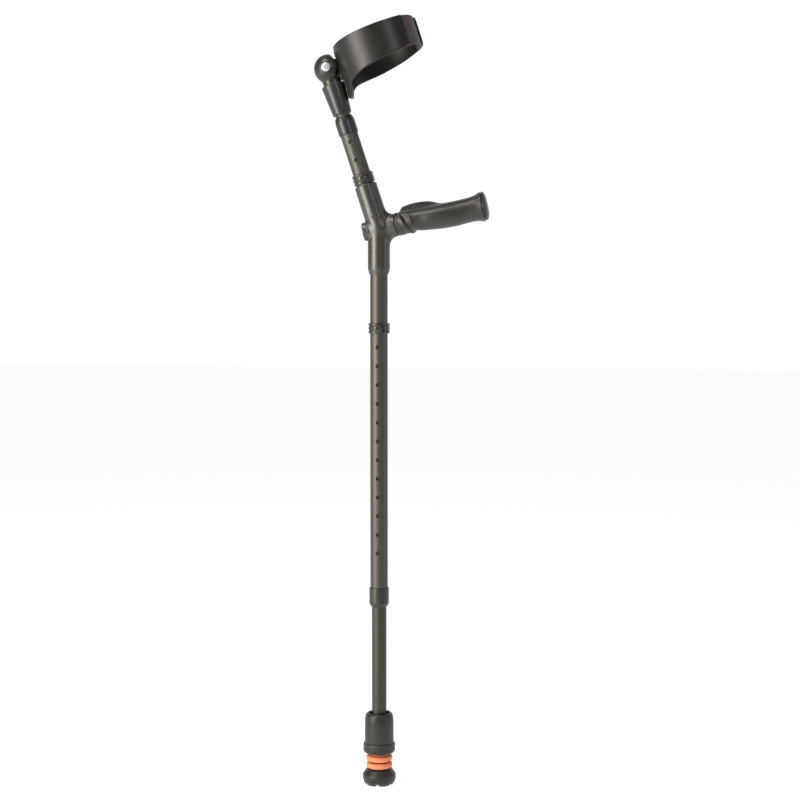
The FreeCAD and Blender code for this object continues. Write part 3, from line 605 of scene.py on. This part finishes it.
def clip_band(name, height, where):
    """Half ring with straight arms. A ribbed section (outer radius lowered by two grooves, corners cut)
    is carried along the U: outwards from the tube's axis on the bow, sideways on the arms."""
    inner, outer, tall = pole_r + 0.3, 13.9, 14.0
    level = np.linspace(-tall / 2, tall / 2, 57)
    groove = np.exp(-((np.abs(level) - 2.75) / 0.62) ** 4)
    rim = step_up(np.abs(level), tall / 2 - 0.9, tall / 2) ** 2
    face = outer - 0.75 * groove - 0.8 * rim
    section_r = np.concatenate([face, np.full(9, inner)])
    section_z = np.concatenate([level, np.linspace(tall / 2, -tall / 2, 9)])
    middle = (inner + outer) / 2
    bow = np.linspace(0, -np.pi, 73)
    arm = np.array([7.0, 6.9, 6.6, 6.0, 4.0, 2.0])
    rounding = np.array([0.55, 0.82, 0.95, 1, 1, 1])
    shrink = np.concatenate([rounding, np.ones(73), rounding[::-1]])
    side = np.concatenate([np.ones(6), np.cos(bow), -np.ones(6)])
    front = np.concatenate([np.zeros(6), np.sin(bow), np.zeros(6)])
    offset = np.concatenate([arm, np.zeros(73), arm[::-1]])
    radius = middle + (section_r[None] - middle) * shrink[:, None]
    along = section_z[None] * shrink[:, None] ** 0.3
    points = np.stack([radius * side[:, None], radius * front[:, None] + offset[:, None], along + height], -1)
    ends = placed(np.array([points[0].mean(0), points[-1].mean(0)]), where)
    return skin(name, placed(points, where), ends=ends)


def clip_button(name, height, where):
    """Domed button in front of the band: a turned shape whose axis points to the front."""
    outline = [(0, 0), (6.0, 0), (6.0, 1.9, 0.5), (5.6, 2.2, 0.3), (5.3, 3.9, 2.2), (2.6, 5.0, 3.0), (0, 5.2)]
    return turned(name, outline, facing_front((0, -12.6, height), where), 64)


def facing_front(spot, where):
    """Frame at a spot of another frame, with its third axis towards the front."""
    x_axis, y_axis, z_axis = where[1]
    return placed(np.array(spot, float), where), np.array([x_axis, z_axis, -y_axis])


def make_nylon_clip():
    """Tough black nylon with a satin skin, a little paler along its ribs."""
    satin = Finish("clip_nylon", Specular_IOR_Level=0.6)
    cloud, grain = satin.noise(200, 2), satin.noise(2400, 2)
    tone = satin.between(cloud, (0.022, 0.021, 0.020), (0.036, 0.034, 0.032))
    satin.feed(Base_Color=satin.between(satin.edge() * 0.4, tone, (0.10, 0.097, 0.09)),
               Roughness=0.27 + grain * 0.12)
    satin.relief(grain, 0.02)
    return satin


clip_nylon = make_nylon_clip()
leg_parts = [clip_band("band", clip_z, UPRIGHT), clip_button("button", clip_z, UPRIGHT)]
fit(joined("leg_spring_clip", leg_parts), clip_nylon, "leg_lock", "black_plastic", "leg_clip")
refinish(steel, "leg_clip_peg", "forearm_clip_peg")


# ---- Handle moulding -------------------------------------------------------------------------------------
# One glass-filled nylon moulding joins everything: a limb glued on the pole, one on the forearm tube and a
# boss for the grip, with thick webs in the corners. Its skin is spark-eroded, and a shallow panel runs down
# the lower limb. A cross pin goes through it, and a cap closes the back of the boss.

joints = {joint["name"]: joint for joint in frame["joints"]}
mounts = {mount["name"]: mount for mount in frame["record"]["mounts"]}


def leaning_frame(x_axis, z_axis, on_axis):
    """Frame whose origin is where a leaning axis crosses the pole's axis."""
    z_axis = np.asarray(z_axis, float)
    origin = np.asarray(on_axis, float) - z_axis * (on_axis[0] / z_axis[0])
    return origin, np.array([x_axis, np.cross(z_axis, x_axis), z_axis])


up_forearm = np.array(joints["forearm_extend"]["axis"])
tube_middle = sum(span("inner_tube")) / 2
FOREARM = leaning_frame((up_forearm[2], 0.0, -up_forearm[0]), up_forearm, tube_middle)
grip_axis = np.array(mounts["hand_grip"]["axis"])
grip_middle = np.array(mounts["hand_grip"]["pos_m"]) / mm
HANDLE = leaning_frame((-grip_axis[2], 0.0, grip_axis[0]), grip_axis, grip_middle)


def local(points, where):
    """Points in a frame's own coordinates."""
    origin, axes = where
    return (points - origin) @ axes.T


def soft_least(first, second, width):
    """Smooth least of two distances: min(a, b) - h^2 w / 4, with h = max(w - |a - b|, 0) / w."""
    blend = np.maximum(width - np.abs(first - second), 0.0) / width
    return np.minimum(first, second) - blend ** 2 * width / 4


def soft_most(first, second, width):
    """Smooth most of two distances, by the same rule."""
    return -soft_least(-first, -second, width)


pin_s = 15.3


def moulding_distance(points):
    """Distance to the moulding's skin: two tapered limbs and the boss, melted together by soft_least with
    wide webs in front, then cut by the bores with soft_most, and lowered by the panel's depth."""
    x, y, z = points.T
    low = span("handle_moulding")[0][2]
    knee = FOREARM[0][2] - 4.0
    limb_r = 14.75 - 1.9 * (1 - step_up(z, low - 1.0, low + 9.0))
    panel = step_up(x, 4.1, 4.9) * step_up(-y, 0.0, 4.0) * step_up(z, low + 2.6, low + 3.6)
    panel = panel * (1 - step_up(z, 724.0, 736.0))
    lower = np.hypot(np.hypot(x, y), np.maximum(z - knee, 0)) - limb_r + 0.55 * panel
    lower = soft_most(lower, low - z, 1.0)
    v, side, s = local(points, FOREARM).T
    upper_r = 15.1 - 0.2 * np.clip(s / 57.5, 0, 1)
    upper = np.hypot(np.hypot(v, side), np.minimum(s, 0)) - upper_r
    upper = soft_most(upper, s - 57.4, 1.6)
    n, front, w = local(points, HANDLE).T
    boss_r = 13.3 + 1.3 * step_up(w, 8.0, 23.0)
    boss = soft_most(np.hypot(n, front) - boss_r, w - 23.3, 0.7)
    boss = soft_most(boss, -15.0 - w, 0.7)
    web = 2.5 + 11.5 * step_up(x, -3.0, 9.0) * (1 - step_up(np.abs(y), 5.0, 13.0))
    skin_distance = soft_least(soft_least(lower, upper, 5.0), boss, web)
    pole_bore = soft_most(np.hypot(x, y) - seat_r, z - 734.1, 0.3)
    arm_bore = soft_most(np.hypot(v, side) - seat_r, 9.9 - s, 0.3)
    core_bore = soft_most(np.hypot(n, front) - 8.02, -w - 20.0, 0.3)
    plug_bore = soft_most(np.hypot(n, front) - 12.3, w + 15.0, 0.3)
    pin_bore = soft_most(np.hypot(v, s - pin_s) - 3.75, 14.4 - np.abs(side), 0.3)
    bores = np.minimum.reduce([pole_bore, arm_bore, core_bore, plug_bore, pin_bore])
    return soft_most(skin_distance, -bores, 0.5)


def settle(points, distance, rounds):
    """Moves points onto the skin where the distance is zero: p - d grad d / |grad d|^2, a few times over."""
    for _ in range(rounds):
        here = distance(points)
        slope = np.stack([(distance(points + step) - distance(points - step)) / 0.1
                          for step in np.eye(3) * 0.05], -1)
        move = -(here / np.maximum((slope ** 2).sum(-1), 0.2))[:, None] * slope
        points = points + np.clip(move, -1.0, 1.0)
    return points


def moulded(name, distance, low, high, pace):
    """Closed skin where a distance is zero. Of a fine grid of cells in a box, every cell that the skin
    crosses gets a corner at the mean of its crossed edges, p + d1 / (d1 - d2) of the pace along each. The
    four corners round a crossed edge make a face, and then all corners settle on the skin."""
    axes = [np.arange(a, b + pace, pace) for a, b in zip(low - 2 * pace, high + 2 * pace)]
    grid = np.stack(np.meshgrid(*axes, indexing="ij"), -1)
    value = distance(grid.reshape(-1, 3)).reshape(grid.shape[:3])
    steps = np.eye(3, dtype=int)
    crossings, rings = [], []
    for axis in range(3):
        step, side, back = steps[axis], steps[axis - 1], steps[axis - 2]
        edge = np.argwhere((value < 0) != (np.roll(value, -1, axis) < 0))
        first, second = value[tuple(edge.T)], value[tuple((edge + step).T)]
        crossings.append(grid[tuple(edge.T)] + (first / (first - second))[:, None] * pace * step)
        ring = np.stack([edge, edge - side, edge - side - back, edge - back], 1)
        rings.append(np.ravel_multi_index(ring.reshape(-1, 3).T, value.shape))
    faces = np.unique(np.concatenate(rings), return_inverse=True)[1]
    shares = np.repeat(np.concatenate(crossings), 4, 0)
    total = np.stack([np.bincount(faces, weights=part) for part in shares.T], -1)
    points = settle(total / np.bincount(faces)[:, None], distance, 3)
    mesh = bpy.data.meshes.new(name)
    mesh.from_pydata((points * mm).tolist(), [], faces.reshape(-1, 4).tolist())
    return finish_mesh(name, mesh, sharp=50.0)


def make_moulding():
    """Spark-eroded nylon: dull warm grey, evenly stippled, with a few paler flow clouds."""
    stipple = Finish("spark_eroded_nylon", Specular_IOR_Level=0.95)
    pits, cloud = stipple.noise(1300, 3, 0.6), stipple.noise(45, 3)
    tone = stipple.between(pits.above(0.3, 0.75), (0.013, 0.0122, 0.009), (0.034, 0.0315, 0.024))
    stipple.feed(Base_Color=stipple.between(cloud * 0.4, tone, (0.022, 0.0205, 0.016)),
                 Roughness=0.30 + pits * 0.14)
    stipple.relief(pits, 0.09)
    return stipple


stippled = make_moulding()
moulding = moulded("junction_moulding", moulding_distance, *span("handle_moulding"), 0.66)
fit(moulding, stippled, "frame", "moulding_plastic", "handle_moulding")
plug_outline = [(0, -20.9), (8.0, -20.9, 0.6), (8.6, -21.4, 0.6), (12.3, -21.2, 1.7), (12.3, -14.9),
                (0, -14.9)]
fit(turned("boss_back_cap", plug_outline, HANDLE), stippled, "frame", "moulding_plastic", "rear_plug")
pin_outline = [(0, -15.6), (2.2, -15.6, 0.3), (3.5, -15.2, 0.5), (3.6, -14.3), (2.4, -14.2), (2.4, 14.2),
               (3.6, 14.3), (3.5, 15.2, 0.5), (2.2, 15.6, 0.3), (0, 15.6)]
pin = turned("moulding_pin", pin_outline, facing_front((0, 0, pin_s), FOREARM), 48)
fit(pin, stippled, "frame", "moulding_plastic", "cross_pin")
refinish(steel, "handle_core", "core_bolt")


# ---- Grip ------------------------------------------------------------------------------------------------
# A palm grip moulded in dense black rubber over a steel core: an oval body that swells at its root, where a
# raised lip runs slantwise round it, a wing behind that carries the palm, and a flared end with a cap.

def flow(at, knots, values):
    """Smooth curve through knots: cubic pieces whose slopes come from the neighbouring knots."""
    knots, values = np.asarray(knots, float), np.asarray(values, float)
    slopes = np.gradient(values, knots)
    place = np.clip(np.searchsorted(knots, at) - 1, 0, len(knots) - 2)
    width = knots[place + 1] - knots[place]
    t = np.clip((at - knots[place]) / width, 0, 1)
    return ((1 + 2 * t) * (1 - t) ** 2 * values[place] + t * (1 - t) ** 2 * width * slopes[place]
            + t * t * (3 - 2 * t) * values[place + 1] - t * t * (1 - t) * width * slopes[place + 1])


def hump(value, middle, before, after):
    """Bell of height 1: exp(-(distance / width)^2), with one width before the middle and one after."""
    width = np.where(value < middle, before, after)
    return np.exp(-((value - middle) / width) ** 2)


def grip_skin(along, around):
    """Skin of the grip: middle + (tall sin a, wide cos a), an ellipse from the top, bottom and width lines,
    plus bells for the palm wing, the lip along a slanting line, the dimple behind it and the thumb swell."""
    top = flow(along, [23.9, 31, 34, 45, 64, 88, 98, 114, 127, 134, 138.5, 141],
               [15.0, 16.0, 16.0, 15.7, 15.1, 15.1, 14.8, 14.8, 15.4, 16.8, 18.6, 19.2])
    bottom = flow(along, [23.9, 31, 37, 43, 48, 64, 79, 91, 103, 117, 127, 134, 138, 141],
                  [-14.8, -15.0, -14.4, -14.5, -14.4, -15.2, -17.1, -17.9, -18.2, -17.5, -17.4, -18.4, -19.9,
                   -20.2])
    wide = flow(along, [23.9, 31, 42, 50, 57, 68, 80, 95, 110, 122, 133, 141],
                [14.9, 15.6, 15.5, 15.0, 15.3, 16.8, 17.6, 17.4, 16.8, 16.8, 17.8, 19.4])
    degrees = np.degrees(around)
    tall, middle = (top - bottom) / 2, (top + bottom) / 2
    crest = flow(along, [23.9, 31, 32.5, 34, 38, 43, 53, 62, 71, 78.5, 85, 90, 141],
                 [14.0, 15.4, 18.6, 20.8, 22.4, 23.3, 23.9, 23.5, 22.1, 19.5, 16.3, 14.5, 14.0])
    wing = np.maximum((crest - middle) / 0.927 - tall, 0) * hump(degrees, 112.0, 19.0, 46.0)
    lip_line = 34.8 - 0.105 * degrees
    front = step_up(degrees, -150.0, -100.0) * (1 - step_up(degrees, 78.0, 100.0))
    lip = 1.0 * hump(along, lip_line, 3.2, 0.8) * front
    dimple = 1.7 * hump(along, lip_line + 4.0, 2.0, 6.5) * front * step_up(-degrees, -66.0, -20.0)
    swell = 2.0 * hump(along, 43.9 - 0.05 * degrees, 3.0, 2.6) * hump(degrees, -5.0, 34.0, 30.0)
    mould_line = 0.12 * hump(np.abs(degrees), 90.0, 1.4, 1.4) * step_up(along, 52.0, 60.0)
    extra = wing + lip - dimple + swell + mould_line
    lift, out = np.sin(around), np.cos(around)
    return np.stack([middle + (tall + extra) * lift, (wide + extra) * out, along + 0 * around], -1)


def form_grip():
    """Grid of the grip: rings along its axis with a rounded rim at the flare and a drawn-in groove."""
    along = np.concatenate([[23.9, 23.95], np.linspace(24.1, 60, 120), np.linspace(60.8, 130, 70),
                            np.linspace(130.6, 141.0, 26)])[:, None]
    around = np.radians(np.linspace(-180, 180, 176, endpoint=False))[None, :]
    body = grip_skin(along, around)
    centre = body.mean(1, keepdims=True)
    pinch = np.ones_like(along)
    pinch[0], pinch[1], pinch[2] = 0.90, 0.965, 0.985
    pinch = pinch * (1 - 0.05 * step_up(along, 139.6, 141.0) ** 2)
    body[..., :2] = (centre + (body - centre) * pinch[..., None])[..., :2]
    ends = placed(np.array([body[0].mean(0), body[-1].mean(0)]), HANDLE)
    return skin("palm_grip", placed(body, HANDLE), ends=ends)


def make_grip_rubber():
    """Dense black grip rubber: satin from handling, with fine matt grain and cloudy worn patches."""
    palm = Finish("grip_rubber", Specular_IOR_Level=0.7)
    cloud, grain = palm.noise(55, 3), palm.noise(2000, 2)
    tone = palm.between(cloud, (0.009, 0.008, 0.0058), (0.017, 0.0152, 0.0118))
    palm.feed(Base_Color=palm.between(palm.edge() * 0.2, tone, (0.12, 0.115, 0.10)),
              Roughness=0.33 + grain * 0.10 + cloud * 0.08)
    palm.relief(grain, 0.05)
    return palm


grip_rubber = make_grip_rubber()
fit(form_grip(), grip_rubber, "frame", "grip_rubber", "grip", "grip_collar")
cap_outline = [(0, 141.2), (17.2, 141.2, 0.2), (18.9, 141.7, 0.5), (19.4, 142.6, 0.8), (18.2, 145.0, 2.2),
               (12.5, 147.2, 5.0), (0, 147.5)]
fit(turned("grip_end_dome", cap_outline, HANDLE), gloss, "frame", "gloss_black", "grip_end_cap")


# ---- Forearm tube and its clip ---------------------------------------------------------------------------
# The same anodised tube as the pole, leaning back, with a row of holes, a spring clip and a tall polished
# end bush. A thinner tube slides in it and carries the cuff.

lean = math.degrees(math.atan2(up_forearm[0], up_forearm[2]))
anodised_leaning = make_anodised("anodised_leaning", lean)
refinish(anodised_leaning, "forearm_tube", "inner_tube")
refinish(nylon, "inner_guide")
clip_s = local(sum(span("forearm_clip_peg")) / 2, FOREARM)[2]
upper_holes = [clip_s + hole_pitch * i for i in (1, 2)]
upper_rims = hole_rims("forearm_hole_rims", pole_r, hole_r, upper_holes, FOREARM)
fit(upper_rims, anodised_leaning, "frame", "anodised_tube")
arm_parts = [clip_band("band_2", clip_s, FOREARM), clip_button("button_2", clip_s, FOREARM)]
fit(joined("forearm_spring_clip", arm_parts), clip_nylon, "forearm_lock", "black_plastic", "forearm_clip")
top_bush_outline = [(seat_r, 127.7), (12.9, 127.7, 0.5), (13.2, 128.6, 0.5), (13.2, 145.4, 5.0),
                    (11.8, 151.0, 2.5), (10.6, 152.4, 0.7), (9.95, 152.4, 0.2), (9.9, 139.3), (seat_r, 139.2)]
fit(turned("forearm_end_bush", top_bush_outline, FOREARM), gloss, "frame", "black_plastic", "forearm_bush")


# ---- Cuff hinge ------------------------------------------------------------------------------------------
# A tapered sleeve is glued on the thin tube. A polished black ball stands on it, slotted for the cuff's
# blade, and a chromed hexagon-socket screw through the ball clamps the blade between two thin washers.

socket_low, socket_high, inner_seat_r = 155.2, 196.0, 9.82
socket_outline = [(inner_seat_r, socket_low), (12.2, socket_low, 0.7), (12.7, socket_low + 1.6, 0.6),
                  (15.9, socket_high, 1.1), (13.4, socket_high, 0.3), (13.2, socket_high - 2.4),
                  (inner_seat_r, socket_high - 2.5)]
fit(turned("cuff_tube_sleeve", socket_outline, FOREARM), gloss, "cuff_arm", "gloss_black", "cuff_socket")
hinge = local(np.array(joints["cuff_tilt"]["pos_m"]) / mm, FOREARM)


def knuckle_distance(points):
    """Distance to the ball's skin: a ball melted onto a short neck with a spigot, then cut by the blade's
    slot and mouth, by the relief towards the cuff, and by the pockets of screw and nut."""
    v, side, s = local(points, FOREARM).T
    ahead, rise = v - hinge[0], s - hinge[2]
    from_screw = np.hypot(ahead, rise)
    ball = np.sqrt((ahead - 0.6) ** 2 + (rise + 0.7) ** 2 + side ** 2) - 19.3
    neck = soft_most(soft_most(np.hypot(v, side) - 12.4, s - 208.0, 0.4), 193.0 - s, 0.4)
    spigot = soft_most(soft_most(np.hypot(v, side) - 8.28, s - 200.0, 0.3), 176.0 - s, 0.3)
    body = np.minimum(soft_least(ball, neck, 2.0), spigot)
    mouth = soft_most(soft_most(-ahead, -8.0 - rise, 0.3), rise - 40.0, 0.3)
    slot = soft_most(np.abs(side) - 5.3, np.minimum(from_screw - 15.8, mouth), 0.4)
    relief = soft_most(soft_most(9.0 - ahead, 14.1 - from_screw, 0.8), -16.0 - rise, 0.4)
    pocket = soft_most(from_screw - 6.5, 15.2 - np.abs(side), 0.3)
    bore = from_screw - 3.1
    return soft_most(body, -np.minimum.reduce([slot, relief, pocket, bore]), 0.5)


def make_chrome():
    """Bright chromium plate with faint polishing haze."""
    chrome = Finish("chrome", Metallic=1.0)
    haze = chrome.noise(500, 3)
    chrome.feed(Base_Color=chrome.between(haze, (0.86, 0.86, 0.85), (0.95, 0.95, 0.94)),
                Roughness=0.34 + haze * 0.12)
    chrome.relief(haze, 0.01)
    return chrome


chrome = make_chrome()
ball = moulded("hinge_ball", knuckle_distance, *span("hinge_knuckle"), 0.5)
fit(ball, gloss, "cuff_arm", "gloss_black", "hinge_knuckle")
refinish(chrome, "hinge_screw")
refinish(steel, "hinge_nut", "strap_rivets")
refinish(nylon, "friction_washers")
refinish(clip_nylon, "cuff_bracket")


# ---- Cuff shell ------------------------------------------------------------------------------------------
# A tall open oval band of glossy nylon, moulded with rounded edges. Its crowned top runs level, its lower
# edge sweeps down at the back into a tail, and its front is closed by the strap.

def cuff_edges(v, side):
    """Heights of the top and lower edge as smooth curves over the distance in front of the forearm's axis.
    The lower edge has one curve on the near side and a slightly deeper one on the far side."""
    top = flow(v, [15, 23.6, 39, 54.5, 69, 83, 96, 108, 121, 131],
               [240.6, 242.2, 243.9, 244.8, 245.5, 246.1, 246.4, 247.2, 247.6, 247.2])
    near = flow(v, [15, 19.8, 20.8, 22.6, 24.7, 27.6, 33, 41, 52, 66, 80, 93, 105, 117, 131],
                [171.6, 171.7, 174.6, 180.8, 184.4, 187.5, 190.7, 193.7, 196.2, 198.5, 200.4, 202.2, 204.4,
                 206.6, 208.2])
    far = flow(v, [15, 17.6, 18.6, 20.0, 22.1, 25.5, 30.7, 39, 47, 56, 65, 74, 92, 111, 131],
               [171.6, 171.7, 175.0, 180.6, 184.0, 187.5, 190.0, 192.2, 193.5, 194.8, 196.2, 197.8, 200.7,
                204.3, 207.6])
    return top, near + (far - near) * step_up(side, -8.0, 8.0)


def oval_band(name, angles, offset, wall, corner):
    """Band carried round the cuff's oval. At angle t the outer skin is at centre + (-a cos t, -b sin t); a
    rounded-edge section of the wall's thickness is set along the oval's normal, between the two edge lines.
    Corners at the two ends are rounded by pulling the edge lines in over a quarter circle, and the top of
    the back sways a little towards the back."""
    half_v, half_side, centre = 57.0, 50.0, 73.4
    t = np.radians(angles)[:, None]
    normal = np.stack([-np.cos(t) / half_v, -np.sin(t) / half_side], -1)
    normal = normal / np.linalg.norm(normal, axis=-1, keepdims=True)
    skin_line = np.stack([centre - half_v * np.cos(t), -half_side * np.sin(t)], -1)
    top, low = cuff_edges(skin_line[..., 0], skin_line[..., 1])
    arc = np.insert(np.cumsum(np.linalg.norm(np.diff(skin_line[:, 0], axis=0), axis=1)), 0, 0.0)[:, None]
    trim = 0.0
    for from_end, radius in ((arc, corner[0]), (arc[-1] - arc, corner[1])):
        inside = np.clip(radius - from_end, 0, radius)
        trim = trim + radius - np.sqrt(np.maximum(radius ** 2 - inside ** 2, 0.0))
    top, low = top - trim, low + trim
    half = wall / 2
    rim = np.linspace(0, np.pi, 9)[1:-1]
    rise = np.linspace(0, 1, 26)
    across = np.concatenate([0 * rise, half - half * np.cos(rim), 0 * rise + wall, half + half * np.cos(rim)])
    level = np.concatenate([rise, np.ones(7), rise[::-1], np.zeros(7)])
    over = np.concatenate([0 * rise, half * np.sin(rim), 0 * rise, -half * np.sin(rim)])
    end = np.ones(len(angles))
    end[:4] = end[-1:-5:-1] = [0.35, 0.75, 0.93, 1.0]
    end = end[:, None]
    shrink = half * (1 - end)
    across = half + (across - half) * end
    height = (low + half + shrink) + (top - low - wall - 2 * shrink) * level + over * end
    flat = skin_line - normal * (offset + across)[..., None]
    sway = 1.6 * step_up(height, 200.0, 246.0) * (1 - step_up(flat[..., 0], 17.0, 60.0))
    points = np.stack([flat[..., 0] - sway, flat[..., 1], height], -1)
    ends = placed(np.array([points[0].mean(0), points[-1].mean(0)]), FOREARM)
    return skin(name, placed(points, FOREARM), ends=ends)


def spaced(first, last, count):
    """Angles with a few extra close to both ends, for their rounding."""
    near = np.array([0.0, 0.12, 0.35, 0.8, 1.4, 2.0, 2.8, 3.8, 5.0])
    return np.concatenate([first + near, np.linspace(first + 6.2, last - 6.2, count), last - near[::-1]])


def make_cuff():
    """Glossy nylon of the cuff: near-black, soft broad reflections, faint upright flow streaks."""
    shell = Finish("cuff_nylon", Specular_IOR_Level=0.42)
    streak = shell.noise(260, 3, stretch=(1, 1, 0.05), lean=-18.1)
    cloud = shell.noise(40, 3)
    tone = shell.between(cloud, (0.008, 0.0074, 0.0062), (0.016, 0.0148, 0.0126))
    shell.feed(Base_Color=shell.between(shell.edge() * 0.3, tone, (0.10, 0.098, 0.09)),
               Roughness=0.34 + streak * 0.10)
    shell.relief(streak * 0.6 + cloud * 0.4, 0.02)
    return shell


cuff_finish = make_cuff()
cuff_band = oval_band("cuff_band", spaced(-176.0, 139.0, 230), 0.0, 2.6, (10.0, 1.6))
fit(cuff_band, cuff_finish, "cuff", "gloss_black", "cuff_shell")


def rib_distance(points):
    """Distance to the rib down the cuff's back: a slab whose front is sunk in the shell. Beside the sleeve
    its back follows the sleeve's taper; above the sleeve it reaches in towards the ball."""
    v, side, s = local(points, FOREARM).T
    from_screw = np.hypot(v - hinge[0], s - hinge[2])
    beside = soft_most(14.5 + 0.082 * (s - 172.5) - v, s - 205.4, 0.6)
    over_sleeve = soft_most(12.9 - v, 197.8 - s, 0.8)
    by_ball = soft_most(9.9 - v, 203.6 - s, 0.8)
    above = soft_most(np.minimum(over_sleeve, by_ball), np.maximum(14.6 - from_screw, s - 212.0), 0.5)
    back = np.minimum(beside, above)
    return soft_most(soft_most(soft_most(back, v - 18.0, 0.3), np.abs(side) - 9.0, 1.2), 172.6 - s, 0.8)


rib_corners = [(v, side, s) for v in (9.0, 19.0) for side in (-9, 9) for s in (172, 212)]
rib_box = placed(np.array(rib_corners), FOREARM)
rib_low, rib_high = rib_box.min(0) - 3.0, rib_box.max(0) + 3.0
fit(moulded("cuff_rib", rib_distance, rib_low, rib_high, 0.55), cuff_finish, "cuff", "gloss_black")


# ---- Front strap -----------------------------------------------------------------------------------------
# A thin flexible strap inside the cuff's open front, riveted to its far end. It has a matt, upright-brushed face;
# on the crutch it bends open where it leaves its rivets to let the forearm in, and here it is fixed in place, not
# attached to the cuff.

def make_strap():
    """Flexible plastic: matt brown-grey with fine upright streaks."""
    matt = Finish("strap_plastic", Specular_IOR_Level=0.4)
    streak = matt.noise(900, 3, 0.6, stretch=(1, 1, 0.04), lean=-18.1)
    cloud = matt.noise(120, 2)
    tone = matt.between(streak.above(0.3, 0.7), (0.055, 0.046, 0.043), (0.115, 0.098, 0.092))
    matt.feed(Base_Color=matt.between(cloud * 0.4, tone, (0.08, 0.066, 0.062)),
              Roughness=0.50 + streak * 0.18)
    matt.relief(streak, 0.05)
    return matt


strap_finish = make_strap()
strap = oval_band("front_strap", spaced(131.0, 212.0, 90), 2.95, 1.6, (4.0, 4.0))
fit(strap, strap_finish, None, "strap_plastic", "cuff_strap", "strap_anchor")
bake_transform(strap)
